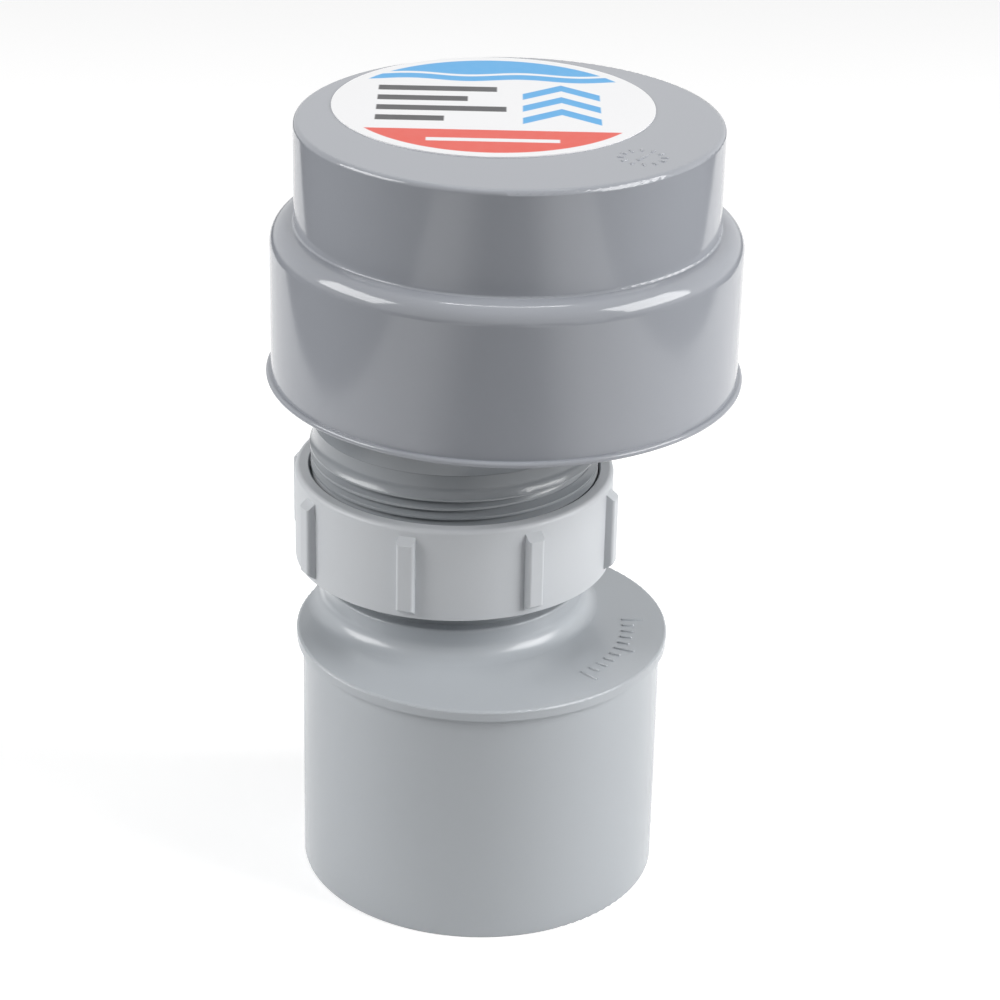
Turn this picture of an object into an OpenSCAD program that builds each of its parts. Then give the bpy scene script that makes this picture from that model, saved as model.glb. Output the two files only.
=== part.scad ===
// Air admittance valve for drain stacks, on an eccentric reducer.
// Origin: centre of the spigot's lower rim. +Z up along the spigot.
// The neck stands off the spigot's axis, and the valve head stands off the neck's axis.

/* [Spigot] */
// Outer diameter of the lower spigot
spigot_d = 75; // [70:0.5:90]
// Spigot length from the rim to the bead
spigot_len = 52; // [35:1:80]
// Spigot wall
spigot_wall = 2.2; // [1.6:0.1:3.5]
// Rounding of the rim's outer edge
rim_round = 0.5; // [0.2:0.1:1.2]
// How far the bead stands out from the spigot
bead_proud = 1.3; // [0.6:0.1:2.5]
// Height of the bead
bead_h = 2.2; // [1.6:0.1:5]
// Rounding of the bead's top edge
bead_round = 0.5; // [0.2:0.1:1.4]
// Thickness of the flat shoulder
shoulder_t = 2.6; // [2:0.1:5]

/* [Neck] */
// Outer diameter of the neck
neck_d = 50; // [40:0.5:54]
// Neck wall
neck_wall = 2.2; // [1.6:0.1:3.5]
// Direction of the neck's offset, from +X
neck_turn = 121; // [0:1:359]
// Step left between the neck and the spigot where they run flush
flush_step = 0.1; // [0:0.1:3]
// How far the neck's thicker foot stands out from the neck
foot_step = 2.5; // [1:0.1:3]
// How far the foot's top lies under the nut
foot_under = 5.3; // [5.2:0.1:7]
// Rounding of the foot's top edge
foot_round = 0.5; // [0.2:0.1:0.9]
// Fillet between the foot and the shoulder
neck_fillet = 3.5; // [1:0.25:4]

/* [Union nut] */
// Free length of neck under the nut
nut_gap = 11.8; // [11:0.1:25]
// Height of the nut
nut_h = 20; // [16:0.5:25]
// Wall of the nut outside its bore
nut_wall = 3; // [2.5:0.1:5]
// Thickness of the nut's floor
nut_floor = 3; // [2:0.1:5]
// Rounding of the nut's upper rim
nut_round = 1; // [0.5:0.1:2.4]
// Chamfer of the nut's mouth
nut_chamfer = 0.3; // [0.2:0.1:1]
// Play between the thread's crest and the nut's bore
nut_play = 0.3; // [0.2:0.05:0.6]
// Number of grip ribs
grip_count = 8; // [4:1:14]
// Width of a grip rib at its foot
grip_w = 3.6; // [2.4:0.1:6]
// How far the grip ribs stand out
grip_proud = 1.8; // [0.8:0.1:3]
// Rounding of the grip ribs' crests
grip_round = 0.7; // [0.3:0.1:1.1]
// How far the grip ribs' upper ends lie under the nut's upper edge
grip_high = 1.9; // [1:0.1:5]
// Slope of the grip ribs' upper ends, as drop over reach
grip_over = 0.75; // [0.2:0.05:1.2]
// Height of the grip ribs' lower ends above the nut's lower edge
grip_low = 1; // [0.4:0.1:3]
// Slope of the grip ribs' lower ends, as rise over reach
grip_under = 0.7; // [0.2:0.05:1]
// Turn of the first grip rib, from +X
grip_turn = 29.5; // [0:0.5:90]

/* [Compression joint] */
// Thickness of the thrust washer
washer_t = 1.6; // [1:0.1:2.5]
// Ring of free space round the thrust washer
washer_play = 0.6; // [0.4:0.1:1]
// Height of the cone seal that shows under the socket
seal_stand = 1.4; // [1:0.1:3]
// Height of the socket's conical mouth
mouth_h = 5; // [3:0.25:8]
// Widening of the socket's conical mouth
mouth_w = 2.1; // [1.2:0.1:2.5]

/* [Threaded socket] */
// Play between the neck and the socket
socket_fit = 0.3; // [0.1:0.05:0.5]
// Wall between the socket and the thread's root
socket_wall = 3.5; // [3:0.1:6]
// Depth of the thread
thread_depth = 1.2; // [0.8:0.05:1.6]
// Thread that shows above the nut
thread_bare = 5; // [3:0.25:7]
// Space between the end of the neck and the stop
stop_gap = 1; // [0.5:0.1:3]
// How far the stop lies under the top of the collar
stop_drop = 1.3; // [0.5:0.1:3]
// Thickness of the stop
stop_t = 2; // [1.2:0.1:4]
// How far the collar's lip stands out over the thread
lip_proud = 0.2; // [0.1:0.1:1]
// How far the collar's waist lies within the thread
waist_in = 0.6; // [0.3:0.1:1]
// Height of the flare between the waist and the lip
flare_h = 2.2; // [1.2:0.1:3]
// Height of the collar from its lip to the funnel
collar_h = 5.3; // [4.5:0.1:9]

/* [Valve body] */
// Distance of the head's axis from the neck's axis
head_offset = 9.9; // [5:0.1:14]
// Bore at the stop
flow_d = 44; // [34:0.5:45]
// Height of the funnel between the collar and the bowl
funnel_h = 14.7; // [11:0.1:22]
// Height of the bowl's wall above the funnel
bowl_h = 17.6; // [14:0.2:24]
// Bowl wall
bowl_wall = 1.8; // [1.6:0.1:2.4]
// Least space between the bore and the bowl's wall
bowl_margin = 1.1; // [0.6:0.1:3]
// Width of the ring of air inlets between the seats
inlet_w = 5.6; // [4:0.1:8]
// Width of a seat's lip
seat_w = 1; // [0.6:0.1:1.3]
// Height of a seat's lip
seat_h = 1.2; // [0.8:0.1:2]
// Width of the flange that carries the outer seat
flange_w = 2.2; // [1.8:0.1:3.5]
// Thickness of that flange
flange_t = 2.8; // [1.8:0.1:4]
// Wall of the body's outer ring
ring_wall = 3; // [2.4:0.1:4]
// Height of the outer ring under the seat
ring_drop = 8.6; // [7:0.2:10]
// Number of spokes that carry the outer ring
spoke_count = 12; // [6:1:16]
// Thickness of a spoke
spoke_t = 1.8; // [1.2:0.1:2.6]
// Height of a spoke at the bowl
spoke_h = 10.5; // [9:0.1:11.5]

/* [Hood] */
// Wall of the hood
hood_wall = 2; // [1.5:0.1:2.8]
// Play between the outer ring and the skirt
hood_fit = 0.3; // [0.2:0.05:0.5]
// Depth of the skirt under the seat
skirt_drop = 21.6; // [17:0.2:24]
// Height of the shoulder above the seat
shoulder_rise = 11.1; // [10.5:0.1:18]
// Rounding of the shoulder
shoulder_round = 4; // [2.5:0.1:4.2]
// Step from the skirt in to the drum
drum_step = 4.9; // [4.3:0.1:8]
// Height of the drum above the shoulder
drum_h = 21.3; // [19.5:0.1:36]
// Rounding of the drum's top edge
drum_round = 1; // [0.4:0.1:1.8]
// Fillet between the drum and the shoulder
drum_fillet = 0.4; // [0.2:0.1:0.8]
// How far the skirt's lower bead stands out
skirt_bead = 1; // [0.9:0.1:2]
// Radius of the skirt's lower bead
skirt_bead_r = 0.6; // [0.5:0.1:1.2]
// Number of snap lugs under the outer ring
lug_count = 4; // [3:1:8]
// Sweep of a snap lug in degrees
lug_sweep = 18; // [8:1:30]
// How far a snap lug stands in from the skirt
lug_in = 1.2; // [0.8:0.1:2]

/* [Diaphragm] */
// Thickness of the rubber diaphragm
diaphragm_t = 2; // [1.2:0.1:2.5]
// Overlap of the diaphragm past each seat's lip
diaphragm_over = 0.8; // [0.4:0.1:0.9]
// Thickness of the carrier's ring and arms
carrier_t = 2; // [1.2:0.1:2.4]
// Number of carrier arms
arm_count = 6; // [3:1:8]
// Width of a carrier arm
arm_w = 4; // [2:0.2:6]
// Diameter of the carrier's hub
hub_d = 14; // [12:0.5:18]
// Height of the carrier's hub
hub_h = 5.4; // [4:0.1:6]
// Diameter of the guide stem
stem_d = 6.8; // [4:0.2:8]
// Play between the guide stem and its sleeve
stem_fit = 0.3; // [0.2:0.05:0.5]
// Wall of the guide sleeve
sleeve_wall = 1.6; // [1.2:0.1:2.2]
// Travel of the diaphragm from its seats to its stop
lift = 5; // [3:0.1:6]
// Length of stem inside the sleeve with the valve closed
stem_grip = 9; // [6:0.25:11]

/* [Label] */
// Diameter of the label
label_d = 65.2; // [30:0.2:66]
// Thickness of the label
label_t = 0.2; // [0.1:0.05:0.5]
// Label centre from the head's axis, to the right
label_x = -3.3; // [-3.5:0.1:3.5]
// Label centre from the head's axis, to the back
label_y = 8.5; // [-8.5:0.1:8.5]

/* [Hidden] */
$fn = 96;

// Overlap that makes two shapes one, the overshoot of a cut, and the funnel's step and stub in its neighbours
weld = 0.3;
cut = 1;
funnel_step = 0.05;
funnel_stub = 0.05;
// Space between faces that only rest on each other
rest_gap = 0.1;

// Spigot and neck
spigot_r = spigot_d / 2;
bead_r = spigot_r + bead_proud;
shoulder_z = spigot_len + bead_h;
neck_r = neck_d / 2;
neck_bore_r = neck_r - neck_wall;
neck_offset = (spigot_d - neck_d) / 2 - flush_step;
neck_at = [neck_offset * cos(neck_turn), neck_offset * sin(neck_turn), 0];
foot_reach = bead_r - bead_round;

// Socket and thread: the thread's ridge stands on the root
socket_r = neck_r + socket_fit;
root_r = socket_r + socket_wall;
thread_r = root_r + thread_depth;
mouth_r = socket_r + mouth_w;

// Nut
nut_z = shoulder_z + nut_gap;
nut_top = nut_z + nut_h;
nut_bore_r = thread_r + nut_play;
nut_r = nut_bore_r + nut_wall;
foot_r = neck_r + foot_step;
foot_top = nut_z - foot_under;
nut_hole_r = foot_r + 2 * socket_fit;
grip_r = nut_r + grip_proud;

// Washer and cone seal
washer_z = nut_z + nut_floor;
washer_top = washer_z + washer_t;
washer_hole_r = neck_r + 2 * socket_fit;
washer_r = nut_bore_r - washer_play;
mouth_z = washer_top + seal_stand;
seal_fit = 0.12;
seal_bore_r = neck_r + 0.05;
seal_reach = 0.75;

// Collar
collar_z = nut_top + thread_bare;
collar_top = collar_z + collar_h;
stop_z = collar_top - stop_drop;
neck_top = stop_z - stop_gap;
lip_r = thread_r + lip_proud;
waist_r = thread_r - waist_in;
lip_land = 0.4;
flare_w = lip_r - waist_r;
flare_r = (flare_w * flare_w + flare_h * flare_h) / (2 * flare_w);
flow_r = flow_d / 2;

// Head
head_at = neck_at + [head_offset, 0, 0];
funnel_top = collar_top + funnel_h;
seat_z = funnel_top + bowl_h;
bowl_in = head_offset + flow_r + bowl_margin;
bowl_out = bowl_in + bowl_wall;
inner_seat_r = (bowl_in + bowl_out) / 2;
outer_seat_in = bowl_out + inlet_w;
outer_seat_out = outer_seat_in + seat_w;
ring_in = outer_seat_in + flange_w;
ring_out = ring_in + ring_wall;
ring_z = seat_z - ring_drop;
flange_z = seat_z - seat_h - flange_t;
spoke_top = seat_z - 2 * seat_h + 0.3;
spoke_rise = ring_z + 1;

// Ring seal in its groove
seal_d = 1.6;
seal_groove = 1.8;
seal_groove_r = ring_out + hood_fit - seal_d - rest_gap;
hood_seal_z = seat_z + 2.4;

// Hood
skirt_in = ring_out + hood_fit;
skirt_r = skirt_in + hood_wall;
skirt_z = seat_z - skirt_drop;
hood_shoulder_z = seat_z + shoulder_rise;
shoulder_under = hood_shoulder_z - hood_wall;
shoulder_arc = min(shoulder_round, drum_step - drum_fillet);
shoulder_arc_in = max(shoulder_arc - hood_wall, 0.4);
drum_r = skirt_r - drum_step;
drum_in = drum_r - hood_wall;
drum_top = hood_shoulder_z + drum_h;
drum_under = drum_top - hood_wall;
ring_top = shoulder_under - 2 * rest_gap;
ring_chamfer = min(2.2, ring_wall - 0.4);
lug_top = ring_z - 2 * rest_gap;
lug_h = 1.2;
lug_ramp = 0.8;

// Diaphragm and carrier
diaphragm_z = seat_z;
diaphragm_in = bowl_in - diaphragm_over;
diaphragm_out = outer_seat_out + diaphragm_over;
carrier_z = diaphragm_z + diaphragm_t;
carrier_out = outer_seat_in;
hook_out = bowl_in - 0.4;
hook_in = diaphragm_in - 1.7;
hook_wall_r = diaphragm_in - rest_gap;
hook_h = 1.2;
hook_z = diaphragm_z - rest_gap - hook_h;
hub_r = hub_d / 2;
hub_top = carrier_z + hub_h;
stem_r = stem_d / 2;
sleeve_bore_r = stem_r + stem_fit;
sleeve_r = sleeve_bore_r + sleeve_wall;
sleeve_z = hub_top + lift + 2 * rest_gap;
stem_top = sleeve_z + stem_grip;
stem_tip = 1;
label_at = head_at + [label_x, label_y, drum_top];

grey_mid = [0.52, 0.53, 0.54];
grey_light = [0.74, 0.75, 0.76];
grey_soft = [0.64, 0.65, 0.66];

// The waste outside a rounded convex corner at the origin, of a shape that fills -X and -Y
module round_waste(r) {
    translate([-r, -r]) difference() {
        square(r + cut);
        circle(r);
    }
}

// A concave fillet in a corner at the origin, between a wall at its left and a floor under it
module fillet(r) {
    difference() {
        translate([-weld, -weld]) square(r + weld);
        translate([r, r]) circle(r);
    }
}

// A flat ring between two radii
module band(r_in, r_out, z, h) {
    translate([r_in, z]) square([r_out - r_in, h]);
}

module reducer() {
    color(grey_soft) difference() {
        union() {
            rotate_extrude() difference() {
                union() {
                    band(0, spigot_r, 0, spigot_len + weld);
                    band(0, bead_r, spigot_len, bead_h);
                }
                translate([bead_r, shoulder_z]) round_waste(bead_round);
                translate([spigot_r, 0]) mirror([0, 1]) round_waste(rim_round);
            }
            translate(neck_at) cylinder(r = neck_r, h = neck_top);
            neck_foot();
        }
        translate([0, 0, -cut])
            cylinder(r = spigot_r - spigot_wall, h = shoulder_z - shoulder_t + cut);
        translate(neck_at) cylinder(r = neck_bore_r, h = neck_top + cut);
    }
}

// The neck's thicker foot and the fillet round it, kept within the shoulder's flat
module neck_foot() {
    intersection() {
        translate(neck_at) rotate_extrude() {
            difference() {
                band(0, foot_r, shoulder_z - weld, foot_top - shoulder_z + weld);
                translate([foot_r, foot_top]) round_waste(foot_round);
            }
            translate([foot_r, shoulder_z]) fillet(neck_fillet);
        }
        cylinder(r = foot_reach, h = neck_top);
    }
}

module union_nut() {
    color(grey_light) translate(neck_at) difference() {
        union() {
            rotate_extrude() difference() {
                band(0, nut_r, nut_z, nut_h);
                translate([nut_r, nut_top]) round_waste(nut_round);
            }
            grips();
        }
        rotate_extrude() polygon([
            [0, washer_z],
            [nut_bore_r, washer_z],
            [nut_bore_r, nut_top - nut_chamfer],
            [nut_bore_r + nut_chamfer + cut, nut_top + cut],
            [0, nut_top + cut]
        ]);
        translate([0, 0, nut_z - cut]) cylinder(r = nut_hole_r, h = nut_floor + 2 * cut);
    }
}

// Grip ribs with rounded crests, and ends that slope into the nut's wall
module grips() {
    slope_w = grip_proud + weld + cut;
    slope_top = nut_top - grip_high + weld * grip_over;
    slope_low = nut_z + grip_low - weld * grip_under;
    intersection() {
        rotate_extrude() polygon([
            [nut_r - weld, slope_low],
            [nut_r - weld + slope_w, slope_low + slope_w * grip_under],
            [nut_r - weld + slope_w, slope_top - slope_w * grip_over],
            [nut_r - weld, slope_top]
        ]);
        for (i = [0 : grip_count - 1]) rotate(grip_turn + i * 360 / grip_count)
            translate([0, 0, nut_z]) linear_extrude(nut_h) grip_section();
    }
}

// Section across one grip rib
module grip_section() {
    flank_r = grip_r - grip_round;
    crest_w = grip_w - 2 * grip_round;
    sunk_r = nut_r - 2 * weld;
    translate([sunk_r, -grip_w / 2]) square([flank_r - sunk_r, grip_w]);
    translate([sunk_r, -crest_w / 2]) square([grip_r - sunk_r, crest_w]);
    for (side = [-1, 1]) translate([flank_r, side * crest_w / 2]) circle(grip_round);
}

module thrust_washer() {
    color("whitesmoke") translate(neck_at) rotate_extrude()
        band(washer_hole_r, washer_r, washer_z + rest_gap, washer_t - rest_gap);
}

module cone_seal() {
    tip_z = mouth_z + seal_reach * mouth_h;
    tip_r = socket_r + (1 - seal_reach) * mouth_w - seal_fit;
    color([0.13, 0.13, 0.14]) translate(neck_at) rotate_extrude() polygon([
        [seal_bore_r, washer_top + rest_gap],
        [mouth_r - seal_fit, washer_top + rest_gap],
        [mouth_r - seal_fit, mouth_z],
        [tip_r, tip_z],
        [seal_bore_r, tip_z]
    ]);
}

module valve_body() {
    color(grey_mid) difference() {
        union() {
            translate(neck_at) rotate_extrude() socket_outline();
            funnel(waist_r, bowl_out, collar_top, funnel_top);
            translate(head_at) rotate_extrude() bowl_outline();
            translate(head_at) rotate_extrude() ring_outline();
            translate(head_at) spokes();
        }
        translate(neck_at) rotate_extrude() socket_hollow();
        funnel(flow_r, bowl_in, stop_z + stop_t, funnel_top);
    }
}

// Cone that leans from the neck's axis to the head's, a small step inside the walls that it joins.
// Every level of it is a true circle, and a stub at each end sinks into its neighbour.
module funnel(r_low, r_high, z_low, z_high) {
    rise = z_high - z_low;
    lean = (head_at - neck_at) / rise;
    low = r_low - funnel_step;
    high = r_high - funnel_step;
    translate(neck_at + [0, 0, z_low])
        multmatrix([[1, 0, lean.x, 0], [0, 1, lean.y, 0], [0, 0, 1, 0]]) rotate_extrude() polygon([
            [0, -funnel_stub],
            [low, -funnel_stub],
            [low, 0],
            [high, rise],
            [high, rise + funnel_stub],
            [0, rise + funnel_stub]
        ]);
}

// Outside of the threaded socket: thread root, lip, flare and waist
module socket_outline() {
    difference() {
        union() {
            band(0, root_r, mouth_z, collar_z - mouth_z + weld);
            band(0, lip_r, collar_z, collar_top - collar_z);
        }
        translate([waist_r + flare_r, collar_z + lip_land + flare_h]) circle(flare_r);
        band(waist_r, lip_r + cut, collar_z + lip_land + flare_h, collar_top);
    }
}

// Inside of the socket: conical mouth, stop and bore
module socket_hollow() {
    polygon([
        [0, mouth_z - cut],
        [mouth_r, mouth_z - cut],
        [mouth_r, mouth_z],
        [socket_r, mouth_z + mouth_h],
        [socket_r, stop_z],
        [flow_r, stop_z],
        [flow_r, stop_z + stop_t],
        [0, stop_z + stop_t]
    ]);
}

// Wall of the bowl, with the inner seat's lip on its rim
module bowl_outline() {
    polygon([
        [bowl_in, funnel_top],
        [bowl_out, funnel_top],
        [bowl_out, seat_z - seat_h],
        [inner_seat_r + seat_w / 2, seat_z],
        [inner_seat_r - seat_w / 2, seat_z],
        [bowl_in, seat_z - seat_h]
    ]);
}

// Outer ring with its seal groove, and the flange that carries the outer seat
module ring_outline() {
    difference() {
        polygon([
            [ring_in, ring_z],
            [ring_out, ring_z],
            [ring_out, ring_top - ring_chamfer],
            [ring_out - ring_chamfer, ring_top],
            [ring_in, ring_top]
        ]);
        band(seal_groove_r, ring_out + cut, hood_seal_z - seal_groove / 2, seal_groove);
    }
    band(outer_seat_in, ring_in + weld, flange_z, flange_t);
    band(outer_seat_in, outer_seat_out, flange_z, flange_t + seat_h);
}

// Spokes between the bowl and the outer ring, under the seats
module spokes() {
    for (i = [0 : spoke_count - 1]) rotate(i * 360 / spoke_count)
        rotate([90, 0, 0]) translate([0, 0, -spoke_t / 2]) linear_extrude(spoke_t) polygon([
            [bowl_out - weld, spoke_top - spoke_h],
            [ring_in + weld, spoke_rise],
            [ring_in + weld, spoke_top],
            [bowl_out - weld, spoke_top]
        ]);
}

module diaphragm() {
    color([0.12, 0.12, 0.13]) translate(head_at) rotate_extrude()
        band(diaphragm_in, diaphragm_out, diaphragm_z, diaphragm_t);
}

// Ring, hooked collar, arms, hub and guide stem
module diaphragm_carrier() {
    color(grey_light) translate(head_at) {
        rotate_extrude() union() {
            band(hook_in, carrier_out, carrier_z, carrier_t);
            band(hook_in, hook_wall_r, hook_z, carrier_z - hook_z + weld);
            band(hook_in, hook_out, hook_z, hook_h);
        }
        for (i = [0 : arm_count - 1]) rotate(i * 360 / arm_count)
            translate([hub_r / 2, -arm_w / 2, carrier_z])
                cube([hook_in + weld - hub_r / 2, arm_w, carrier_t]);
        rotate_extrude() polygon([
            [0, carrier_z],
            [hub_r, carrier_z],
            [hub_r, hub_top],
            [stem_r, hub_top],
            [stem_r, stem_top - stem_tip],
            [stem_r - stem_tip, stem_top],
            [0, stem_top]
        ]);
    }
}

module hood_seal() {
    color([0.12, 0.12, 0.13]) translate(head_at) rotate_extrude()
        translate([skirt_in - rest_gap / 2 - seal_d / 2, hood_seal_z]) circle(d = seal_d);
}

module hood() {
    color(grey_mid) translate(head_at) {
        rotate_extrude() difference() {
            hood_outline();
            hood_hollow();
        }
        rotate_extrude() band(sleeve_bore_r, sleeve_r, sleeve_z, drum_under - sleeve_z + weld);
        for (i = [0 : lug_count - 1]) rotate(45 + i * 360 / lug_count - lug_sweep / 2)
            rotate_extrude(angle = lug_sweep) polygon([
                [skirt_in + weld, lug_top - lug_h - lug_ramp],
                [skirt_in - lug_in, lug_top - lug_h + lug_ramp],
                [skirt_in - lug_in, lug_top],
                [skirt_in + weld, lug_top]
            ]);
    }
}

// Outside of the hood: skirt with its bead, rounded shoulder and drum
module hood_outline() {
    bead_at = skirt_r + skirt_bead - skirt_bead_r;
    difference() {
        band(0, skirt_r, skirt_z, hood_shoulder_z - skirt_z);
        translate([skirt_r, hood_shoulder_z]) round_waste(shoulder_arc);
    }
    band(0, bead_at, skirt_z, 2 * skirt_bead_r);
    translate([bead_at, skirt_z + skirt_bead_r]) circle(skirt_bead_r);
    difference() {
        band(0, drum_r, hood_shoulder_z - weld, drum_h + weld);
        translate([drum_r, drum_top]) round_waste(drum_round);
    }
    translate([drum_r, hood_shoulder_z]) fillet(drum_fillet);
}

// Inside of the hood
module hood_hollow() {
    difference() {
        band(0, skirt_in, skirt_z - cut, shoulder_under - skirt_z + cut);
        translate([skirt_in, shoulder_under]) round_waste(shoulder_arc_in);
    }
    band(0, drum_in, skirt_z - cut, drum_under - skirt_z + cut);
}

module label() {
    color("white") translate(label_at) cylinder(d = label_d, h = label_t);
}

reducer();
union_nut();
thrust_washer();
cone_seal();
valve_body();
diaphragm();
diaphragm_carrier();
hood_seal();
hood();
label();
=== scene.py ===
"""Looks of a drain air admittance valve that stands on an eccentric reducer.

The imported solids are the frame, in metres: +Z up along the spigot, -Y towards the camera. The script dresses
every solid, adds both screw threads, the moulded marks and the label's print, and sets the floor, the lamps
and the camera.
"""

import logging
import math
from dataclasses import dataclass, field
from enum import Enum
from typing import Any, Union

import bpy
import numpy as np
from mathutils import Matrix, Vector


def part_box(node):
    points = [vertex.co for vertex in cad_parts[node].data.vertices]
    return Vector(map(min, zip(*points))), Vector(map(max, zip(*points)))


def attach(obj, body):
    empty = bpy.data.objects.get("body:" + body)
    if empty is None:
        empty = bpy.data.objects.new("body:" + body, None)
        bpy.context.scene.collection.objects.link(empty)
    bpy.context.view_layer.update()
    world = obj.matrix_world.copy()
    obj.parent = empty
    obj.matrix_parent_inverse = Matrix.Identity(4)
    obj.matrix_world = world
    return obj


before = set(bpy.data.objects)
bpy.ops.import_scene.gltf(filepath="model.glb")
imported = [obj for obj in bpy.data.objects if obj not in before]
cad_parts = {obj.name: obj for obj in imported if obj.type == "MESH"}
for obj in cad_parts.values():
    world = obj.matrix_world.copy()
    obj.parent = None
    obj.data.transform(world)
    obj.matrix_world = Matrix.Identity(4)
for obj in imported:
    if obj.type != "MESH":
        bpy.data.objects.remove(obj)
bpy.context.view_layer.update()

MM = 0.001
IMAGE_SIDE = 1000
SENSOR_MM = 36.0
FULL_TURN = 2 * math.pi
SHARP_ANGLE = math.radians(38)

Colour = tuple[float, float, float]
Point = tuple[float, float, float]
Number = Union["Value", float]
# Centres, turns, lengths and widths of a set of bars
Bars = tuple[np.ndarray, np.ndarray, np.ndarray, np.ndarray]

log = logging.getLogger("air_valve")


class Body(Enum):
    """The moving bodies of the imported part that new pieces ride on."""

    VALVE = "valve"
    NUT = "nut"


class Slot(Enum):
    """The record's material slots of the grey mouldings."""

    REDUCER = "reducer_grey"
    NUT = "nut_grey"
    BODY = "body_grey"
    CARRIER = "carrier_grey"
    HOOD = "hood_grey"


class Value:
    """A number that varies over a surface: it wraps a node's socket, and sums on it add Math nodes."""

    def __init__(self, tree: "Tree", socket: bpy.types.NodeSocket) -> None:
        """Keeps the tree and the socket."""
        self.tree = tree
        self.socket = socket

    def _math(self, operation: str, *terms: Number) -> "Value":
        """Adds one Math node.

        Args:
            operation: the Math node's operation.
            terms: its inputs, in order.

        Returns:
            The node's result.
        """
        node = self.tree.node("ShaderNodeMath", {"operation": operation}, dict(enumerate(terms)))
        return Value(self.tree, node.outputs[0])

    def __add__(self, other: Number) -> "Value":
        """self + other."""
        return self._math("ADD", self, other)

    def __radd__(self, other: Number) -> "Value":
        """other + self."""
        return self._math("ADD", other, self)

    def __sub__(self, other: Number) -> "Value":
        """self - other."""
        return self._math("SUBTRACT", self, other)

    def __rsub__(self, other: Number) -> "Value":
        """other - self."""
        return self._math("SUBTRACT", other, self)

    def __mul__(self, other: Number) -> "Value":
        """self * other."""
        return self._math("MULTIPLY", self, other)

    def __rmul__(self, other: Number) -> "Value":
        """other * self."""
        return self._math("MULTIPLY", other, self)

    def __abs__(self) -> "Value":
        """The size of self."""
        return self._math("ABSOLUTE", self)

    def __pow__(self, other: Number) -> "Value":
        """self to the power of other."""
        return self._math("POWER", self, other)

    def __rpow__(self, other: Number) -> "Value":
        """other to the power of self."""
        return self._math("POWER", other, self)

    def most(self, other: Number) -> "Value":
        """The larger of self and other."""
        return self._math("MAXIMUM", self, other)

    def sine(self) -> "Value":
        """The sine of self, in radians."""
        return self._math("SINE", self)

    def rise(self, low: float, high: float) -> "Value":
        """A smooth step.

        Args:
            low: where it is still 0.
            high: where it is 1.

        Returns:
            0 below low, 1 above high and a smooth curve between.
        """
        node = self.tree.node(
            "ShaderNodeMapRange",
            {"interpolation_type": "SMOOTHSTEP"},
            {"Value": self, "From Min": low, "From Max": high},
        )
        return Value(self.tree, node.outputs[0])

    def between(self, low: float, high: float, edge: float) -> "Value":
        """A mask of a range.

        Args:
            low: the range's lower end.
            high: the range's upper end.
            edge: half the width of its soft edges.

        Returns:
            1 inside the range and 0 outside.
        """
        return self.rise(low - edge, low + edge) * (1 - self.rise(high - edge, high + edge))


class Tree:
    """Builds the nodes of one material, or of the world."""

    def __init__(self, tree: bpy.types.NodeTree) -> None:
        """Empties the tree."""
        self.nodes = tree.nodes
        self.links = tree.links
        self.nodes.clear()

    def node(
        self,
        kind: str,
        settings: dict[str, Any],
        sockets: dict[Union[str, int], Any],
    ) -> bpy.types.Node:
        """Adds a node.

        Args:
            kind: Blender's name of the node's type.
            settings: its own settings, which are set first.
            sockets: the value or the link of its inputs, by name or number.

        Returns:
            The node.
        """
        node = self.nodes.new(kind)
        for name, setting in settings.items():
            setattr(node, name, setting)
        for name, given in sockets.items():
            if isinstance(given, Value):
                self.links.new(given.socket, node.inputs[name])
            else:
                node.inputs[name].default_value = given
        return node

    def out(self, node: bpy.types.Node, name: Union[str, int]) -> Value:
        """The named output of a node."""
        return Value(self, node.outputs[name])

    def place(self, centre: Point = (0.0, 0.0, 0.0), scale: Point = (1.0, 1.0, 1.0)) -> Value:
        """Coordinates that stay on the piece.

        Args:
            centre: the point, in metres, that becomes the zero.
            scale: how many units one metre is, along each axis.

        Returns:
            The vector, from Object coordinates.
        """
        source = self.out(self.node("ShaderNodeTexCoord", {}, {}), "Object")
        moved = tuple(-c * s for c, s in zip(centre, scale))
        sockets = {"Vector": source, "Location": moved, "Scale": scale}
        return self.out(self.node("ShaderNodeMapping", {}, sockets), 0)

    def noise(self, at: Value, scale: float, detail: float = 2.0) -> Value:
        """Smooth noise.

        Args:
            at: the coordinates.
            scale: lumps for one unit of them.
            detail: octaves of finer lumps.

        Returns:
            A value round one half.
        """
        sockets = {"Vector": at, "Scale": scale, "Detail": detail}
        return self.out(self.node("ShaderNodeTexNoise", {}, sockets), 0)

    def axes(self, vector: Value) -> tuple[Value, Value, Value]:
        """The x, y and z of a vector."""
        node = self.node("ShaderNodeSeparateXYZ", {}, {"Vector": vector})
        return self.out(node, 0), self.out(node, 1), self.out(node, 2)

    def blend(self, share: Number, first: Any, second: Any) -> Value:
        """A colour between two.

        Args:
            share: 0 for the first colour, 1 for the second.
            first: a colour or a link.
            second: a colour or a link.

        Returns:
            The mixed colour.
        """
        # The colour sockets go by number, because their names repeat
        colours = {6: opaque(first), 7: opaque(second)}
        node = self.node("ShaderNodeMix", {"data_type": "RGBA"}, {"Factor": share, **colours})
        return self.out(node, 2)

    def bump(self, height: Value, depth: float) -> Value:
        """A normal from a height map.

        Args:
            height: the map, from 0 to 1.
            depth: metres that a height of 1 stands for.

        Returns:
            The normal.
        """
        sockets = {"Height": height, "Distance": depth, "Strength": 1.0}
        return self.out(self.node("ShaderNodeBump", {}, sockets), 0)

    def seen(self) -> Value:
        """The rays that show the background.

        Returns:
            1 for camera, glossy and transmission rays, and 0 for the rest.
        """
        rays = self.node("ShaderNodeLightPath", {}, {})
        camera = self.out(rays, "Is Camera Ray")
        glossy = self.out(rays, "Is Glossy Ray")
        through = self.out(rays, "Is Transmission Ray")
        return camera.most(glossy).most(through)


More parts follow.
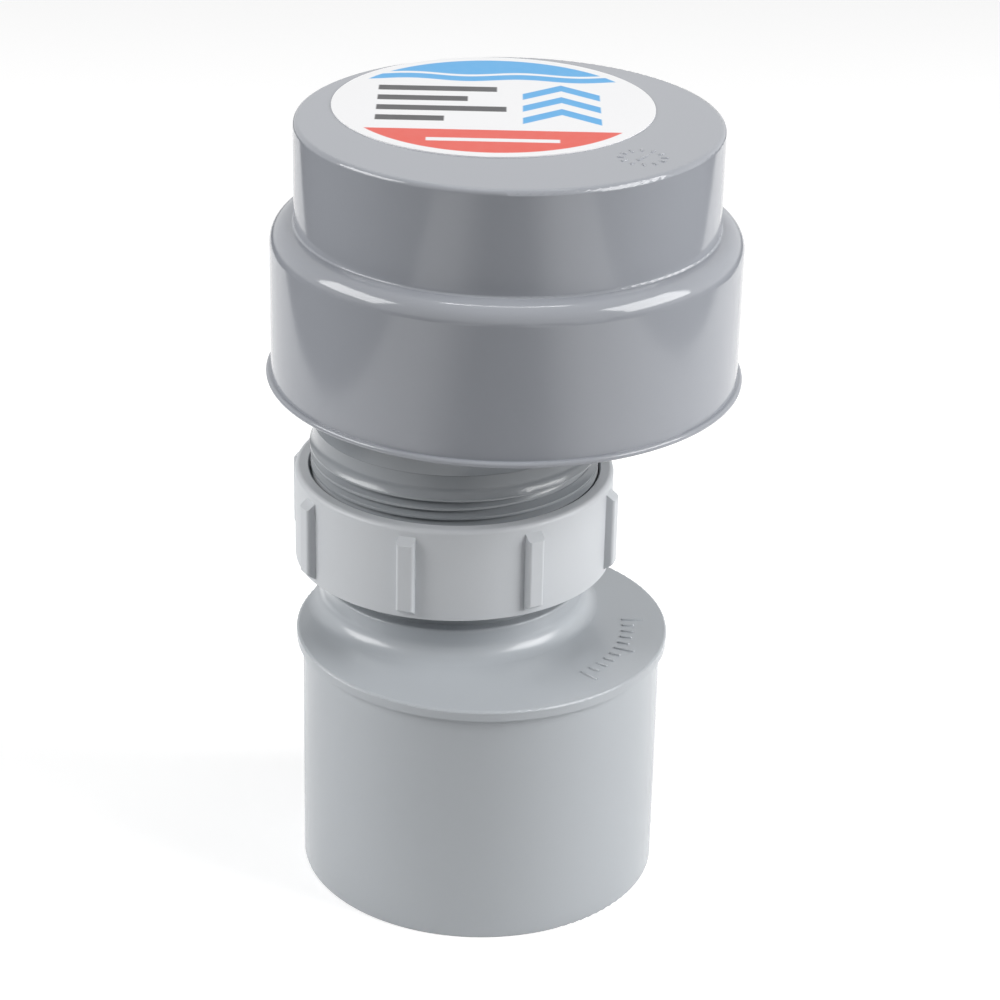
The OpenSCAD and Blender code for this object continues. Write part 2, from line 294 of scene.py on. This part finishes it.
def opaque(colour: Any) -> Any:
    """A colour of three numbers with its alpha, or a link as it is."""
    return colour if isinstance(colour, Value) else (*colour, 1.0)


def new_material(name: str) -> tuple[bpy.types.Material, Tree]:
    """An empty material.

    Args:
        name: what it is called.

    Returns:
        The material and the builder of its nodes.
    """
    material = bpy.data.materials.new(name)
    material.use_nodes = True
    return material, Tree(material.node_tree)


def surface_shader(tree: Tree, sockets: dict[str, Any]) -> None:
    """Ends a material in one Principled shader.

    Args:
        tree: the material's nodes.
        sockets: the shader's values and links.
    """
    shader = tree.node("ShaderNodeBsdfPrincipled", {}, sockets)
    tree.node("ShaderNodeOutputMaterial", {}, {"Surface": tree.out(shader, 0)})


@dataclass(frozen=True)
class MouldedPlastic:
    """Injection-moulded plastic: faint flow marks, fine specks, a satin grain and soft handling marks."""

    name: str
    colour: Colour
    roughness: float
    grain_depth: float
    grain_per_m: float = 1900.0
    flow_per_m: float = 34.0
    flow_squeeze: float = 0.35
    flow_shade: float = 0.1
    flow_gloss: float = 0.04
    speck_per_m: float = 1140.0
    speck_range: tuple[float, float] = (0.62, 0.78)
    speck_shade: float = 0.04
    rub_per_m: float = 90.0
    rub_range: tuple[float, float] = (0.2, 0.9)
    rub_gloss: float = 0.03
    contrast: float = 0.12
    ior: float = 1.49

    def material(self) -> bpy.types.Material:
        """Builds the finish.

        Returns:
            A material whose colour follows slow flow marks, and whose gloss follows soft handling marks.
        """
        material, tree = new_material(self.name)
        here = tree.place()
        # Flow marks are drawn out along the moulding's height
        drawn = tree.place(scale=(1.0, 1.0, self.flow_squeeze))
        flow = tree.noise(drawn, self.flow_per_m, detail=3.0) - 0.5
        specks = tree.noise(here, self.speck_per_m, detail=1.0).rise(*self.speck_range)
        rubs = tree.noise(here, self.rub_per_m, detail=1.0).rise(*self.rub_range)
        shade = flow * self.flow_shade + 0.5 + specks * self.speck_shade
        dark = tuple(c * (1 - self.contrast) for c in self.colour)
        light = tuple(c * (1 + self.contrast) for c in self.colour)
        grain = tree.noise(here, self.grain_per_m)
        surface_shader(
            tree,
            {
                "Base Color": tree.blend(shade, dark, light),
                "Roughness": self.roughness + flow * self.flow_gloss + rubs * self.rub_gloss,
                "Normal": tree.bump(grain, self.grain_depth),
                "IOR": self.ior,
            },
        )
        return material


@dataclass(frozen=True)
class SoftRubber:
    """Black sealing rubber: a dull skin with pale bloom in soft patches that follow slow noise."""

    name: str
    colour: Colour = (0.022, 0.022, 0.024)
    bloom: Colour = (0.075, 0.075, 0.08)
    roughness: float = 0.62
    bloom_per_m: float = 90.0
    bloom_range: tuple[float, float] = (0.45, 0.75)
    bloom_share: float = 0.6
    bloom_dull: float = 0.18
    skin_per_m: float = 1500.0
    skin_depth: float = 0.03 * MM

    def material(self) -> bpy.types.Material:
        """Builds the finish.

        Returns:
            A material with a bloom that follows slow noise and a skin that follows fine noise.
        """
        material, tree = new_material(self.name)
        here = tree.place()
        bloom = tree.noise(here, self.bloom_per_m, detail=4.0).rise(*self.bloom_range)
        skin = tree.noise(here, self.skin_per_m)
        surface_shader(
            tree,
            {
                "Base Color": tree.blend(bloom * self.bloom_share, self.colour, self.bloom),
                "Roughness": self.roughness + bloom * self.bloom_dull,
                "Normal": tree.bump(skin, self.skin_depth),
            },
        )
        return material


@dataclass(frozen=True)
class PrintedFilm:
    """White film with a generic print: a blue field, three flow arrows, dark rules and a warm field."""

    name: str
    centre: Point
    radius: float
    white: Colour = (0.84, 0.84, 0.85)
    blue: Colour = (0.05, 0.36, 0.72)
    dark: Colour = (0.02, 0.02, 0.024)
    warm: Colour = (0.72, 0.06, 0.03)
    edge: float = 0.006
    rim: float = 0.92
    roughness: float = 0.34
    film_per_m: float = 420.0
    film_gloss: float = 0.12
    film_depth: float = 0.01 * MM

    def material(self) -> bpy.types.Material:
        """Builds the finish.

        Returns:
            A material whose print is laid out in label radii from the label's centre.
        """
        material, tree = new_material(self.name)
        unit = 1 / self.radius
        across, along, _ = tree.axes(tree.place(self.centre, (unit, unit, unit)))
        away = (across * across + along * along) ** 0.5
        inside = 1 - away.rise(self.rim, self.rim + 2 * self.edge)
        back, front = self.fields(across, along, inside)
        colour = tree.blend(back, self.white, self.blue)
        colour = tree.blend(self.arrows(across, along), colour, self.blue)
        colour = tree.blend(front, colour, self.warm)
        colour = tree.blend(self.rules(across, along), colour, self.dark)
        film = tree.noise(tree.place(), self.film_per_m, detail=3.0)
        surface_shader(
            tree,
            {
                "Base Color": colour,
                "Roughness": self.roughness + (film - 0.5) * self.film_gloss,
                "Normal": tree.bump(film, self.film_depth),
            },
        )
        return material

    def fields(self, across: Value, along: Value, inside: Value) -> tuple[Value, Value]:
        """The two filled segments of the disc.

        Args:
            across: label radii to the right.
            along: label radii to the back.
            inside: 1 within the printed circle.

        Returns:
            The masks of the blue field at the back and the warm field at the front, each with a clear line.
        """
        start = 0.5
        waves = 9.0
        wave_high = 0.025
        back_line = (0.6, 0.64)
        front_line = (-0.72, -0.66)
        front_half = 0.4
        wave = along - (across * waves).sine() * wave_high
        back = wave.rise(start - self.edge, start + self.edge) * (1 - wave.between(*back_line, self.edge))
        front = 1 - along.rise(-start - self.edge, -start + self.edge)
        clear = along.between(*front_line, self.edge) * across.between(-front_half, front_half, self.edge)
        return back * inside, front * inside * (1 - clear)

    def arrows(self, across: Value, along: Value) -> Value:
        """Three chevrons that point to the back, at the right of the label.

        Args:
            across: label radii to the right.
            along: label radii to the back.

        Returns:
            Their mask.
        """
        count = 3
        middle = 0.42
        half_width = 0.24
        sweep = 0.8
        first = -0.18
        spacing = 0.24
        heavy = 0.12
        side = abs(across - middle)
        slope = along + side * sweep
        mask = 0.0
        for step in range(count):
            low = first + spacing * step
            mask = mask + slope.between(low, low + heavy, self.edge)
        return mask * (1 - side.rise(half_width - self.edge, half_width + self.edge))

    def rules(self, across: Value, along: Value) -> Value:
        """Rules of unequal length, at the left of the label.

        Args:
            across: label radii to the right.
            along: label radii to the back.

        Returns:
            Their mask.
        """
        lengths = (0.74, 0.56, 0.8, 0.42)
        start = -0.72
        first_top = 0.36
        spacing = 0.2
        heavy = 0.1
        mask = 0.0
        for row, length in enumerate(lengths):
            top = first_top - spacing * row
            bar = along.between(top - heavy, top, self.edge)
            mask = mask + bar * across.between(start, start + length, self.edge)
        return mask


def dress(node: str, material: bpy.types.Material) -> None:
    """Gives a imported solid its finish.

    Args:
        node: the solid's name.
        material: its finish.
    """
    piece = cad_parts[node]
    if not piece.material_slots:
        piece.data.materials.append(material)
    for slot in piece.material_slots:
        slot.material = material
    log.info("dressed %s", node)


def add_piece(name: str, points: np.ndarray, faces: list, material: bpy.types.Material) -> bpy.types.Object:
    """Puts a closed surface into the scene with its faces outwards.

    Args:
        name: the piece's name.
        points: an array of vertices, in metres.
        faces: lists of vertex numbers.
        material: its finish.

    Returns:
        The new object, at the origin.
    """
    mesh = bpy.data.meshes.new(name)
    mesh.from_pydata(points.reshape(-1, 3).tolist(), [], faces)
    mesh.update()
    if signed_volume(mesh) < 0:
        mesh.flip_normals()
    mesh.shade_smooth()
    mesh.set_sharp_from_angle(angle=SHARP_ANGLE)
    mesh.materials.append(material)
    piece = bpy.data.objects.new(name, mesh)
    bpy.context.scene.collection.objects.link(piece)
    return piece


def signed_volume(mesh: bpy.types.Mesh) -> float:
    """The volume inside a closed mesh.

    Args:
        mesh: the mesh.

    Returns:
        The sum of a . (b x c) / 6 over the triangles a, b, c, which is below zero if the mesh is inside out.
    """
    mesh.calc_loop_triangles()
    corners = np.empty(len(mesh.loop_triangles) * 3, dtype=np.int32)
    mesh.loop_triangles.foreach_get("vertices", corners)
    points = np.empty(len(mesh.vertices) * 3, dtype=np.float32)
    mesh.vertices.foreach_get("co", points)
    a, b, c = points.reshape(-1, 3).astype(float)[corners.reshape(-1, 3)].transpose(1, 0, 2)
    return float(np.einsum("ij,ij->i", a, np.cross(b, c)).sum() / 6)


def grid_faces(rows: int, columns: int) -> np.ndarray:
    """Quads of a grid whose columns close on themselves.

    Args:
        rows: points along the first parameter.
        columns: points round the second parameter.

    Returns:
        An array of four vertex numbers for each quad.
    """
    row, column = np.meshgrid(np.arange(rows - 1), np.arange(columns), indexing="ij")
    ahead = (column + 1) % columns
    low = row * columns
    high = low + columns
    corners = (low + column, low + ahead, high + ahead, high + column)
    return np.stack(corners, axis=-1).reshape(-1, 4)


def ride(piece: bpy.types.Object, body: Body) -> None:
    """Ties a new piece to its body.

    Args:
        piece: the new object.
        body: the body that it moves with.
    """
    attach(piece, body.value)
    log.info("added %s on %s, %d vertices", piece.name, body.value, len(piece.data.vertices))


@dataclass(frozen=True)
class ThreadRidge:
    """One helical ridge of a screw thread, whose foot is sunk in its carrier.

    The section that is set here is the socket's, with a gentle upper flank and a steep lower one.
    """

    root: float
    crest: float
    low: float
    high: float
    pitch: float = 2.0 * MM
    foot_half: float = 0.98 * MM
    crest_low: float = -0.78 * MM
    crest_high: float = -0.1 * MM
    crest_round: float = 0.1 * MM
    round_points: int = 5
    buried: float = 0.5 * MM
    start_angle: float = 0.465 * FULL_TURN
    fade_turn: float = 0.22
    least_fade: float = 0.02
    steps_per_turn: int = 128

    def section(self) -> tuple[np.ndarray, np.ndarray]:
        """The ridge's section.

        Returns:
            How far each point stands from the buried foot, and its place along the axis. Flanks are straight
            from the root on, and quarter circles round the crest's edges.
        """
        turn = np.linspace(0.0, FULL_TURN / 4, self.round_points)
        rise = abs(self.crest - self.root)
        reach = self.buried + rise - self.crest_round * (1 - np.sin(turn))
        inset = self.crest_round * (1 - np.cos(turn))
        stand = np.concatenate(([0.0, self.buried], reach, reach[::-1], [self.buried, 0.0]))
        crest = np.concatenate((self.crest_low + inset, (self.crest_high - inset)[::-1]))
        along = np.concatenate(([-self.foot_half] * 2, crest, [self.foot_half] * 2))
        return stand, along

    def partner_start(self, low: float, above: float) -> float:
        """The turn at which a partner thread starts.

        Args:
            low: the level at which the partner starts.
            above: how far its middle lies above this ridge's middle.

        Returns:
            An angle in radians, a full turn for each pitch between the two starts.
        """
        return self.start_angle + FULL_TURN * (low - self.low - above) / self.pitch

    def points(self, axis: Point) -> np.ndarray:
        """The ridge's surface over the turn and the section.

        Args:
            axis: a point on the thread's axis.

        Returns:
            A grid in which a point turns about the axis, climbs one pitch for each turn, and stands off the
            buried foot by its section's reach, which fades in and out at the ridge's ends.
        """
        turns = (self.high - self.low) / self.pitch
        turn = np.linspace(0.0, turns, int(turns * self.steps_per_turn) + 1)
        fade = np.clip(np.minimum(turn, turns - turn) / self.fade_turn, self.least_fade, 1.0)
        stand, along = self.section()
        outward = math.copysign(1.0, self.crest - self.root)
        radius = self.root + outward * (stand * fade[:, None] - self.buried)
        angle = self.start_angle + FULL_TURN * turn[:, None]
        height = self.low + self.pitch * turn[:, None] + along * np.sqrt(fade[:, None])
        x = axis[0] + radius * np.cos(angle)
        y = axis[1] + radius * np.sin(angle)
        return np.stack((x, y, height), axis=-1)

    def build(self, name: str, axis: Point, material: bpy.types.Material) -> bpy.types.Object:
        """Makes the ridge a closed piece.

        Args:
            name: the piece's name.
            axis: a point on the thread's axis.
            material: its finish.

        Returns:
            The new object.
        """
        points = self.points(axis)
        rows, columns = points.shape[:2]
        last = (rows - 1) * columns
        ends = [list(range(columns))[::-1], list(range(last, last + columns))]
        return add_piece(name, points, grid_faces(rows, columns).tolist() + ends, material)


@dataclass(frozen=True)
class RaisedBars:
    """A set of moulded bars with round ends and sloping sides, on a level face."""

    height: float = 0.3 * MM
    buried: float = 0.2 * MM
    edge_level: float = 0.7
    edge_width: float = 0.82
    top_width: float = 0.55
    around: int = 24

    def points(self, bars: Bars) -> np.ndarray:
        """The bars' surfaces over the level and the way round.

        Args:
            bars: each bar's centre on the face that carries it, its direction in radians from +X, its whole
                length and its width.

        Returns:
            A grid for each bar. A level's outline is a circle of half the bar's width that is pulled apart
            along the bar, drawn in a little towards the top.
        """
        centres, turns, lengths, widths = bars
        level = np.array([-self.buried, 0.0, self.edge_level * self.height, self.height])
        draw_in = np.array([1.0, 1.0, self.edge_width, self.top_width])
        angle = np.linspace(0.0, FULL_TURN, self.around, endpoint=False)
        half = widths[:, None, None] / 2 * draw_in[None, :, None]
        straight = (lengths - widths)[:, None, None] / 2
        # Rounded, so that the points on the bar's middle line stay on it
        end = np.sign(np.round(np.cos(angle), 6))
        along = half * np.cos(angle) + straight * end
        aside = half * np.sin(angle)
        cos = np.cos(turns)[:, None, None]
        sin = np.sin(turns)[:, None, None]
        x = centres[:, 0, None, None] + along * cos - aside * sin
        y = centres[:, 1, None, None] + along * sin + aside * cos
        z = np.broadcast_to((centres[:, 2, None] + level)[:, :, None], x.shape)
        return np.stack((x, y, z), axis=-1)

    def build(self, name: str, bars: Bars, material: bpy.types.Material) -> bpy.types.Object:
        """Makes the bars one piece.

        Args:
            name: the piece's name.
            bars: centres, turns, lengths and widths.
            material: their finish.

        Returns:
            The new object.
        """
        points = self.points(bars)
        count, levels, around = points.shape[:3]
        shift = np.arange(count)[:, None] * levels * around
        quads = (grid_faces(levels, around)[None] + shift[:, :, None]).reshape(-1, 4).tolist()
        ring = np.arange(around)
        floors = (ring[None, ::-1] + shift).tolist()
        tops = (ring[None] + (levels - 1) * around + shift).tolist()
        return add_piece(name, points, quads + floors + tops, material)


def axis_of(node: str) -> Point:
    """The middle of a round solid's box, which lies on its axis."""
    low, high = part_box(node)
    return tuple((low + high) / 2)


def height_of(node: str) -> tuple[float, float]:
    """The lowest and highest level of a solid."""
    low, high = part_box(node)
    return low.z, high.z


@dataclass
class Reducer:
    """The eccentric reducer with moulded turn marks on its shoulder."""

    finish: MouldedPlastic
    shoulder: float = 54.2 * MM
    mark_radius: float = 29.4 * MM
    mark_width: float = 0.7 * MM
    short_mark: float = 2.6 * MM
    long_mark: float = 4.6 * MM
    long_every: int = 5
    mark_count: int = 11
    first_mark_deg: float = -46.0
    mark_step_deg: float = 5.0

    def build(self) -> None:
        """Dresses the reducer and adds its marks."""
        material = self.finish.material()
        dress("reducer", material)
        marks = RaisedBars().build("shoulder_turn_marks", self.marks(), material)
        ride(marks, Body.VALVE)

    def marks(self) -> Bars:
        """Radial bars on an arc about the spigot's axis, each fifth one longer.

        Returns:
            The bars.
        """
        number = np.arange(self.mark_count)
        turn = np.radians(self.first_mark_deg + self.mark_step_deg * number)
        length = np.where(number % self.long_every == 0, self.long_mark, self.short_mark)
        reach = self.mark_radius + length / 2
        level = np.full(self.mark_count, self.shoulder)
        centres = np.stack((reach * np.cos(turn), reach * np.sin(turn), level), axis=-1)
        return centres, turn, length, np.full(self.mark_count, self.mark_width)


@dataclass
class UnionNut:
    """The ribbed union nut, its inner thread, and the seal and washer that it presses."""

    finish: MouldedPlastic
    bore: float = 30.3 * MM
    crest: float = 29.75 * MM
    lowest_turn: float = 8.4 * MM
    mouth: float = 1.6 * MM
    thread_above: float = 0.8 * MM

    def build(self, socket_thread: ThreadRidge) -> None:
        """Dresses the nut's parts and adds its thread.

        Args:
            socket_thread: the ridge that the nut's ridge has to run between.
        """
        material = self.finish.material()
        dress("union_nut", material)
        washer = MouldedPlastic("washer_white", (0.72, 0.72, 0.7), roughness=0.35, grain_depth=0.004 * MM)
        dress("thrust_washer", washer.material())
        dress("cone_seal", SoftRubber("cone_seal_rubber").material())
        low, high = height_of("union_nut")
        start = low + self.lowest_turn
        ridge = ThreadRidge(
            self.bore,
            self.crest,
            start,
            high - self.mouth,
            foot_half=0.42 * MM,
            crest_low=-0.1 * MM,
            crest_high=0.1 * MM,
            crest_round=0.06 * MM,
            buried=0.25 * MM,
            start_angle=socket_thread.partner_start(start, self.thread_above),
        )
        ride(ridge.build("nut_thread", axis_of("thrust_washer"), material), Body.NUT)


@dataclass
class ValveBody:
    """The valve body with the socket's outer thread, and the ring seal in its groove."""

    finish: MouldedPlastic
    root: float = 28.95 * MM
    crest: float = 30.0 * MM
    lead: float = 1.1 * MM
    bare_thread: float = 5.0 * MM
    run_out: float = 0.9 * MM

    def build(self) -> ThreadRidge:
        """Dresses the body and adds its thread.

        Returns:
            The thread, which the nut's has to fit.
        """
        material = self.finish.material()
        dress("valve_body", material)
        dress("hood_seal", SoftRubber("hood_seal_rubber").material())
        low = height_of("valve_body")[0] + self.lead
        high = height_of("union_nut")[1] + self.bare_thread - self.run_out
        ridge = ThreadRidge(self.root, self.crest, low, high)
        ride(ridge.build("socket_thread", axis_of("thrust_washer"), material), Body.VALVE)
        return ridge


@dataclass
class DiaphragmSet:
    """The rubber diaphragm and the carrier that guides it."""

    finish: MouldedPlastic

    def build(self) -> None:
        """Dresses both."""
        dress("diaphragm", SoftRubber("diaphragm_rubber").material())
        dress("diaphragm_carrier", self.finish.material())


@dataclass
class Hood:
    """The hood with a moulded date dial on its top, and the label."""

    finish: MouldedPlastic
    dial_offset: tuple[float, float] = (25.5 * MM, -22.0 * MM)
    dial_radius: float = 4.2 * MM
    dial_height: float = 0.18 * MM
    dial_marks: int = 12
    mark_length: float = 1.5 * MM
    mark_width: float = 0.55 * MM
    pointer_length: float = 4.4 * MM
    pointer_width: float = 0.9 * MM
    pointer_deg: float = 60.0

    def build(self) -> None:
        """Dresses the hood and its label, and adds the dial."""
        material = self.finish.material()
        dress("hood", material)
        dial = RaisedBars(height=self.dial_height).build("date_dial", self.dial(), material)
        ride(dial, Body.VALVE)
        low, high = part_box("label")
        dress("label", PrintedFilm("label_print", axis_of("label"), (high.x - low.x) / 2).material())

    def dial(self) -> Bars:
        """Twelve radial bars round a pointer, as moulders use to show the month.

        Returns:
            The bars, the pointer last.
        """
        axis = axis_of("diaphragm")
        top = height_of("hood")[1]
        turn = FULL_TURN * np.arange(self.dial_marks) / self.dial_marks
        turn = np.append(turn, math.radians(self.pointer_deg))
        reach = np.append(np.full(self.dial_marks, self.dial_radius), 0.0)
        x = axis[0] + self.dial_offset[0] + reach * np.cos(turn)
        y = axis[1] + self.dial_offset[1] + reach * np.sin(turn)
        length = np.append(np.full(self.dial_marks, self.mark_length), self.pointer_length)
        width = np.append(np.full(self.dial_marks, self.mark_width), self.pointer_width)
        return np.stack((x, y, np.full(len(x), top)), axis=-1), turn, length, width


@dataclass(frozen=True)
class Softbox:
    """A rectangular lamp that faces a point of the object."""

    name: str
    place: Point
    aim: Point
    wide: float
    tall: float
    power: float

    def build(self) -> None:
        """Adds the lamp, which the camera doesn't see."""
        lamp = bpy.data.lights.new(self.name, "AREA")
        lamp.shape = "RECTANGLE"
        lamp.size = self.wide
        lamp.size_y = self.tall
        lamp.energy = self.power
        holder = bpy.data.objects.new(self.name, lamp)
        holder.location = self.place
        holder.rotation_mode = "QUATERNION"
        holder.rotation_quaternion = (Vector(self.aim) - Vector(self.place)).to_track_quat("-Z", "Y")
        holder.visible_camera = False
        bpy.context.scene.collection.objects.link(holder)


@dataclass
class Studio:
    """A white floor that ends at three dark cards, soft lamps, an even sky and the camera.

    The camera was fitted to the photograph: its place is in metres, its focal length in pixels of the image,
    and its angles are in radians.
    """

    camera_back: float = 0.5527241
    camera_height: float = 0.3429275
    focal_px: float = 2962.367
    yaw: float = 0.005860965
    pitch: float = 0.44031023
    roll: float = 0.02325625
    floor_half: float = 6.0
    floor_white: float = 0.7
    floor_lift: float = 0.5
    card_black: Colour = (0.02, 0.02, 0.02)
    card_left: float = -0.3
    card_right: float = 0.345
    card_front: float = -0.22
    front_half: float = 0.14
    front_fade: float = 0.08
    card_reach: float = 1.5
    card_level: float = 0.05 * MM
    sky: float = 0.16
    lamps: list[Softbox] = field(default_factory=list)

    def build(self) -> None:
        """Sets the stage."""
        bpy.context.scene.view_settings.view_transform = "Standard"
        self.make_camera()
        self.make_floor()
        self.make_cards()
        self.make_sky()
        for lamp in self.lamps:
            lamp.build()

    def make_camera(self) -> None:
        """Places the camera at the photograph's angle, from its yaw, pitch and roll."""
        ahead = Vector(
            (
                math.sin(self.yaw) * math.cos(self.pitch),
                math.cos(self.yaw) * math.cos(self.pitch),
                -math.sin(self.pitch),
            )
        )
        level = ahead.cross(Vector((0, 0, 1))).normalized()
        upright = level.cross(ahead)
        right = math.cos(self.roll) * level + math.sin(self.roll) * upright
        up = -math.sin(self.roll) * level + math.cos(self.roll) * upright
        turn = Matrix((right, up, -ahead)).transposed()
        data = bpy.data.cameras.new("photo_camera")
        data.sensor_width = SENSOR_MM
        data.lens = SENSOR_MM * self.focal_px / IMAGE_SIDE
        camera = bpy.data.objects.new("photo_camera", data)
        place = Matrix.Translation((0.0, -self.camera_back, self.camera_height))
        camera.matrix_world = place @ turn.to_4x4()
        bpy.context.scene.collection.objects.link(camera)
        bpy.context.scene.camera = camera

    def floor_shader(self, tree: Tree) -> Value:
        """White that is lifted for the camera and keeps the shadow.

        Args:
            tree: the nodes of the material that shows it.

        Returns:
            The shader.
        """
        white = (self.floor_white, self.floor_white, self.floor_white)
        diffuse = tree.node("ShaderNodeBsdfDiffuse", {}, {"Color": opaque(white)})
        lift = tree.node("ShaderNodeEmission", {}, {"Strength": tree.seen() * self.floor_lift})
        both = tree.node("ShaderNodeAddShader", {}, {0: tree.out(diffuse, 0), 1: tree.out(lift, 0)})
        return tree.out(both, 0)

    def make_floor(self) -> None:
        """Lays the white floor."""
        material, tree = new_material("floor_white")
        tree.node("ShaderNodeOutputMaterial", {}, {"Surface": self.floor_shader(tree)})
        half = self.floor_half
        self.lay("floor", (-half, half), (-half, half), 0.0, material)

    def make_cards(self) -> None:
        """Lays cards on the floor at both sides and in front: black, but the camera sees the floor's white.

        They end the white floor where the glossy walls mirror its end, and keep it from lighting the object
        too much from below.
        """
        side = self.card_material("card_black")
        front = self.card_material("card_faded", self.front_fade)
        reach = self.card_reach
        wide = self.front_half + self.front_fade
        places = {
            "left_card": ((-reach, self.card_left), (-reach, reach), side),
            "right_card": ((self.card_right, reach), (-reach, reach), side),
            "front_card": ((-wide, wide), (-reach, self.card_front), front),
        }
        for name, (across, along, material) in places.items():
            card = self.lay(name, across, along, self.card_level, material)
            card.visible_shadow = False

    def card_material(self, name: str, fade: float = 0.0) -> bpy.types.Material:
        """The finish of a card.

        Args:
            name: what it is called.
            fade: half the width of the front card's soft sides, or 0 for a card that is black all over.

        Returns:
            A material that shows the floor's white to the camera, and black to all other rays.
        """
        material, tree = new_material(name)
        white = tree.out(tree.node("ShaderNodeLightPath", {}, {}), "Is Camera Ray")
        if fade > 0:
            across = tree.axes(tree.place())[0]
            white = white.most(abs(across).rise(self.front_half - fade, self.front_half + fade))
        black = tree.node("ShaderNodeBsdfDiffuse", {}, {"Color": opaque(self.card_black)})
        sockets = {0: white, 1: tree.out(black, 0), 2: self.floor_shader(tree)}
        mixed = tree.node("ShaderNodeMixShader", {}, sockets)
        tree.node("ShaderNodeOutputMaterial", {}, {"Surface": tree.out(mixed, 0)})
        return material

    def lay(
        self,
        name: str,
        across: tuple[float, float],
        along: tuple[float, float],
        level: float,
        material: bpy.types.Material,
    ) -> bpy.types.Object:
        """Lays a flat sheet that belongs to the stage.

        Args:
            name: the sheet's name.
            across: its left and right end.
            along: its front and back end.
            level: its height.
            material: its finish.

        Returns:
            The sheet.
        """
        left, right = across
        front, back = along
        corners = [(left, front, level), (right, front, level), (right, back, level), (left, back, level)]
        mesh = bpy.data.meshes.new(name)
        mesh.from_pydata(corners, [], [(0, 1, 2, 3)])
        mesh.materials.append(material)
        sheet = bpy.data.objects.new(name, mesh)
        bpy.context.scene.collection.objects.link(sheet)
        return sheet

    def make_sky(self) -> None:
        """Fills the world with white for the eye and with a weaker even light for the rest."""
        world = bpy.data.worlds.new("studio_sky")
        bpy.context.scene.world = world
        world.use_nodes = True
        tree = Tree(world.node_tree)
        strength = self.sky + tree.seen() * (1 - self.sky)
        sky = tree.node("ShaderNodeBackground", {}, {"Color": (1.0, 1.0, 1.0, 1.0), "Strength": strength})
        tree.node("ShaderNodeOutputWorld", {}, {"Surface": tree.out(sky, 0)})


def studio_lamps() -> list[Softbox]:
    """The lamps, on both sides and above the object.

    Returns:
        Two side boxes and one top box.
    """
    middle = (0.0, 0.0, 0.1)
    return [
        Softbox("left_box", (-0.894, -0.14, 0.6), middle, wide=0.66, tall=0.5, power=8.1),
        Softbox("right_box", (0.87, -0.21, 0.6), middle, wide=0.68, tall=0.62, power=11.2),
        Softbox("top_box", (0.0, 0.1, 1.1), middle, wide=0.5, tall=0.08, power=1.3),
    ]


def plastics() -> dict[Slot, MouldedPlastic]:
    """The finishes of the grey mouldings.

    Returns:
        A finish for each slot.
    """
    # Base colour, roughness and the grain's depth
    looks = {
        Slot.REDUCER: ((0.437, 0.462, 0.488), 0.225, 0.004 * MM),
        Slot.BODY: ((0.277, 0.295, 0.314), 0.2, 0.002 * MM),
        Slot.NUT: ((0.579, 0.599, 0.623), 0.42, 0.008 * MM),
        Slot.CARRIER: ((0.5, 0.5, 0.5), 0.38, 0.005 * MM),
        Slot.HOOD: ((0.335, 0.35, 0.383), 0.09, 0.001 * MM),
    }
    return {
        slot: MouldedPlastic(slot.value, colour, roughness, grain_depth)
        for slot, (colour, roughness, grain_depth) in looks.items()
    }


def main() -> None:
    """Builds the studio and the valve's sub-assemblies in order."""
    logging.basicConfig(level=logging.INFO, format="%(name)s: %(message)s")
    Studio(lamps=studio_lamps()).build()
    finish = plastics()
    Reducer(finish[Slot.REDUCER]).build()
    thread = ValveBody(finish[Slot.BODY]).build()
    UnionNut(finish[Slot.NUT]).build(thread)
    DiaphragmSet(finish[Slot.CARRIER]).build()
    Hood(finish[Slot.HOOD]).build()


if __name__ == "__main__":
    main()
